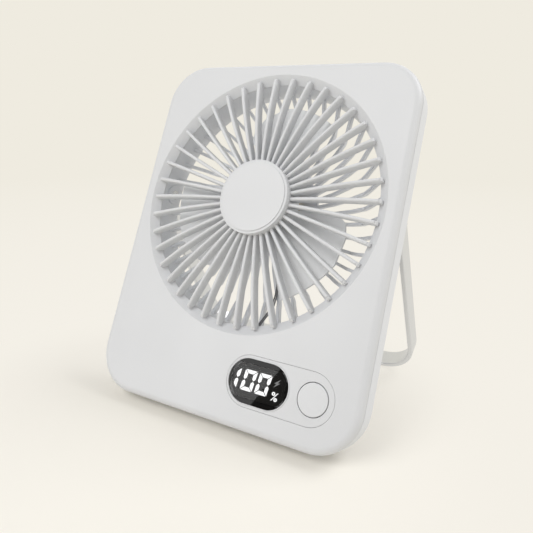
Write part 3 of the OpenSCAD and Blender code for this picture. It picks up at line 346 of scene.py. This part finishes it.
# ---- Impeller
# Three broad blades moulded in one piece with their hub, in grey polypropylene. It is a
# little waxy, with hardly any grain.
dress("impeller", moulded_plastic(
    "impeller_polypropylene_grey", colour="#e4e5e6", shade="#dfe0e1", roughness=0.5,
    grain_depth=0.1))


# ---- Metal parts
# Screws, pins, the socket and the motor's parts, in plated, ground and drawn steel, brass
# and copper, and the foil of the cell. Their tool marks run across the fan, and are drawn
# coarser than real ones so that they show.
MARK_STRETCH = (0.05, 1.0, 1.0)
WEAR_SPREAD = 0.06
MARK_HEIGHT = 0.01 * MM
METAL_EDGE = 0.1 * MM


def worked_metal(name, colour, roughness, mark_mm=0.12, mark_depth=0.3):
    """Metal with tool marks: fine lines in the surface that vary its roughness a little."""
    material, tree = blank(name)
    place = add(tree, "ShaderNodeTexCoord").outputs["Object"]
    stretched = add(tree, "ShaderNodeMapping", vector=place, scale=MARK_STRETCH)
    marks = add(tree, "ShaderNodeTexNoise", vector=stretched.outputs["Vector"],
                scale=1 / (mark_mm * MM), detail=2.0).outputs["Fac"]
    worn = add(tree, "ShaderNodeMapRange", value=marks, to_min=roughness - WEAR_SPREAD,
               to_max=roughness + WEAR_SPREAD)
    edge = add(tree, "ShaderNodeBevel", {"samples": 4}, radius=METAL_EDGE)
    bump = add(tree, "ShaderNodeBump", strength=mark_depth, distance=MARK_HEIGHT,
               height=marks, normal=edge.outputs["Normal"])
    skin = add(tree, "ShaderNodeBsdfPrincipled", base_color=linear(colour), metallic=1.0,
               roughness=worn.outputs["Result"], normal=bump.outputs["Normal"])
    add(tree, "ShaderNodeOutputMaterial", surface=skin.outputs["BSDF"])
    return material


zinc_steel = worked_metal("screw_steel_zinc_plated", colour="#a4a6a9", roughness=0.34)
for node in ("case_screws", "board_screws", "motor_screws"):
    dress(node, zinc_steel)
for node, finish, colour, roughness in (
        ("hinge_pins", "hinge_pin_steel_ground", "#b9bbbe", 0.25),
        ("usb_c_socket", "socket_steel_nickel_plated", "#bfc1c3", 0.22),
        ("motor_base", "motor_base_brass_turned", "#c2a05a", 0.3),
        ("motor_bearings", "bearing_steel_ground", "#b0b2b5", 0.2),
        ("motor_shaft", "shaft_steel_polished", "#c6c8ca", 0.12),
        ("retaining_ring", "retaining_ring_steel_blued", "#585b60", 0.35),
        ("rotor_can", "rotor_can_steel_drawn", "#8f9194", 0.3)):
    dress(node, worked_metal(finish, colour, roughness))
dress("motor_stator", worked_metal(
    "stator_steel_stacked", colour="#75787c", roughness=0.42, mark_mm=0.35))
dress("motor_windings", worked_metal(
    "winding_copper_enamelled", colour="#b4622a", roughness=0.3, mark_mm=0.3, mark_depth=0.8))
dress("battery_cell", worked_metal(
    "cell_pouch_foil_laminated", colour="#c0c2c4", roughness=0.34, mark_mm=1.5))


# ---- Boards, chip, inductor and magnet
# Parts that are shut in the housing, each in the finish that it has on a bench: green
# solder mask, black epoxy and sintered or bonded ferrite.
board_mask = moulded_plastic(
    "board_solder_mask_green", colour="#1d5f3c", shade="#1a5535", roughness=0.35)
for node in ("main_board", "motor_board", "protection_board"):
    dress(node, board_mask)
for node, finish, colour, shade, roughness in (
        ("controller_chip", "chip_epoxy_black", "#1c1d1f", "#222325", 0.5),
        ("boost_inductor", "inductor_ferrite_sintered", "#303134", "#3a3b3e", 0.6),
        ("rotor_magnet", "magnet_ferrite_bonded", "#3d3e41", "#47484b", 0.6)):
    dress(node, moulded_plastic(finish, colour, shade, roughness))


# ---- Foam pad, leads and washers
# The pad of closed-cell foam between the cell and the rear cover, the stranded leads in
# their silicone skins, and the nylon washers that give the stand its friction.
dress("battery_foam", moulded_plastic(
    "pad_foam_closed_cell", colour="#26272a", shade="#2e2f32", roughness=0.9, grain_mm=0.6,
    grain_depth=1.0))
for node, finish, colour, shade in (
        ("battery_lead_red", "lead_silicone_red", "#a8251c", "#9c2018"),
        ("battery_lead_black", "lead_silicone_black", "#16171a", "#1c1d20"),
        ("motor_leads", "lead_silicone_grey", "#737477", "#6a6b6e"),
        ("hinge_washers", "washer_nylon_natural", "#d8d4c8", "#d2cec2")):
    dress(node, moulded_plastic(finish, colour, shade, roughness=0.45))


# ---- Stand
# A U bent from flat aluminium bar, brushed and clear anodised, with a strip of grey silicone
# set in its crossbar. The brushing shows as streaks along the crossbar and as a fine even
# grain on the legs.
dress("stand", worked_metal(
    "stand_aluminium_brushed_anodised", colour="#dcdee1", roughness=0.38, mark_mm=0.5,
    mark_depth=0.25))
dress("stand_foot_strip", moulded_plastic(
    "foot_strip_silicone_grey", colour="#5c5d5e", shade="#565758", roughness=0.7,
    grain_depth=0.5))
